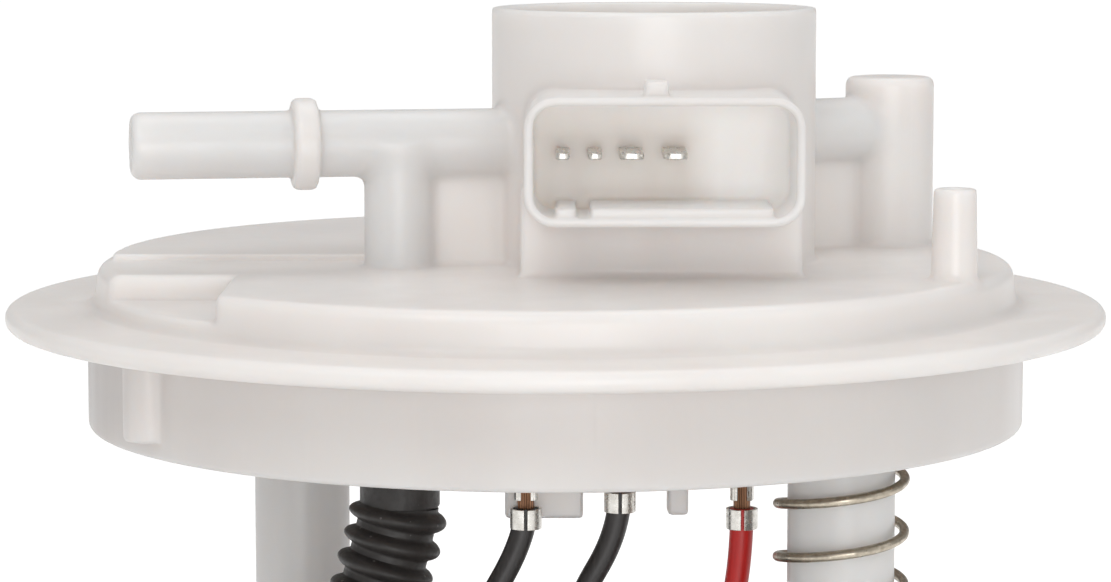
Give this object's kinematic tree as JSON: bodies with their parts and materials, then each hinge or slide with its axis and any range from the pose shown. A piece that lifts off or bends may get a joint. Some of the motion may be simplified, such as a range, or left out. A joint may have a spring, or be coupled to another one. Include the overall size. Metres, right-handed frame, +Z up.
{
  "type": "fuel pump module",
  "caption": "In-tank fuel pump module: round flange cover with fuel pipe, regulator cup and wiring socket, and a spring-loaded reservoir below with pump, strainer and level sender.",
  "frame": {"origin": "centre of the tank opening on the seating plane, which is the underside of the cover's disc", "axes": "+Z up along the spigot's axis, -Y towards the mating side of the wiring socket, -X towards the fuel pipe's tip"},
  "size_m": [0.134, 0.134, 0.2103],
  "materials": {
    "acetal": "satin, natural translucent",
    "black_rubber": "matte",
    "tinned_brass": "bright tinned",
    "spring_steel": "drawn wire",
    "black_jacket": "extruded",
    "red_jacket": "extruded",
    "case_steel": "zinc plated",
    "pump_plastic": "glass-filled moulding",
    "carbon": "pressed carbon",
    "copper": "enamelled wire",
    "ferrite": "sintered",
    "core_iron": "laminated",
    "bright_steel": "ground",
    "sock_fabric": "woven mesh",
    "ceramic": "fired, printed tracks",
    "float_foam": "closed cell",
    "sender_plastic": "moulded"
  },
  "bodies": {
    "cover": {"flange_cover": "acetal", "blade_1": "tinned_brass", "blade_2": "tinned_brass", "blade_3": "tinned_brass", "blade_4": "tinned_brass", "terminal_left": "tinned_brass", "terminal_mid": "tinned_brass", "terminal_right": "tinned_brass", "guide_post_left": "acetal", "guide_post_right": "acetal", "post_stop_clips": "spring_steel", "load_spring": "spring_steel", "corrugated_hose": "black_rubber", "hose_clamp_upper": "bright_steel", "wire_black_left": "black_jacket", "wire_black_mid": "black_jacket", "wire_red": "red_jacket"},
    "reservoir": {"reservoir_cup": "acetal", "reservoir_lid": "acetal", "pump_case": "case_steel", "outlet_cover": "pump_plastic", "pump_pins": "tinned_brass", "pump_plug": "sender_plastic", "relief_valve_cap": "tinned_brass", "check_valve_spring": "spring_steel", "relief_valve_spring": "spring_steel", "carbon_brushes": "carbon", "brush_springs": "spring_steel", "field_magnets": "ferrite", "channel_plate": "pump_plastic", "inlet_cover": "pump_plastic", "upper_bearing": "core_iron", "lower_bearing": "core_iron", "pump_isolator": "black_rubber", "pump_holder": "acetal", "strainer_neck": "acetal", "strainer_sock": "sock_fabric", "sender_housing": "sender_plastic", "resistor_card": "ceramic", "hub_clip": "spring_steel", "sender_terminal": "tinned_brass", "hose_clamp_lower": "bright_steel"},
    "rotor": {"motor_shaft": "bright_steel", "commutator": "copper", "armature_core": "core_iron", "armature_windings": "copper", "impeller": "pump_plastic"},
    "float_lever": {"wiper_hub": "sender_plastic", "wiper_contact": "tinned_brass", "float_arm": "bright_steel", "float": "float_foam"},
    "check_plunger": {"check_valve_plunger": "acetal"},
    "relief_ball": {"relief_valve_ball": "bright_steel"},
    "fill_disc": {"fill_valve": "black_rubber"}
  },
  "joints": [
    {"name": "reservoir_slide", "type": "slide", "parent": "cover", "child": "reservoir", "axis": [0, 0, 1], "range_m": [0, 0.03], "stiffness_N_per_m": 700, "springref_m": -0.03, "deforming": ["load_spring", "corrugated_hose", "wire_black_left", "wire_black_mid", "wire_red"]},
    {"name": "float_swing", "type": "hinge", "parent": "reservoir", "child": "float_lever", "pos_m": [-0.0527, 0.004, -0.104], "axis": [-1, 0, 0], "range_deg": [0, 80]},
    {"name": "rotor_spin", "type": "hinge", "parent": "reservoir", "child": "rotor", "pos_m": [-0.016, -0.012, -0.125], "axis": [0, 0, 1], "continuous": true},
    {"name": "check_valve_lift", "type": "slide", "parent": "reservoir", "child": "check_plunger", "axis": [0, 0, 1], "range_m": [0, 0.002], "stiffness_N_per_m": 20, "springref_m": -0.002, "deforming": ["check_valve_spring"]},
    {"name": "relief_valve_lift", "type": "slide", "parent": "reservoir", "child": "relief_ball", "axis": [0, 0, 1], "range_m": [0, 0.001], "stiffness_N_per_m": 30, "springref_m": -0.002, "deforming": ["relief_valve_spring"]},
    {"name": "fill_valve_lift", "type": "slide", "parent": "reservoir", "child": "fill_disc", "axis": [0, 0, 1], "range_m": [0, 0.0014]}
  ]
}
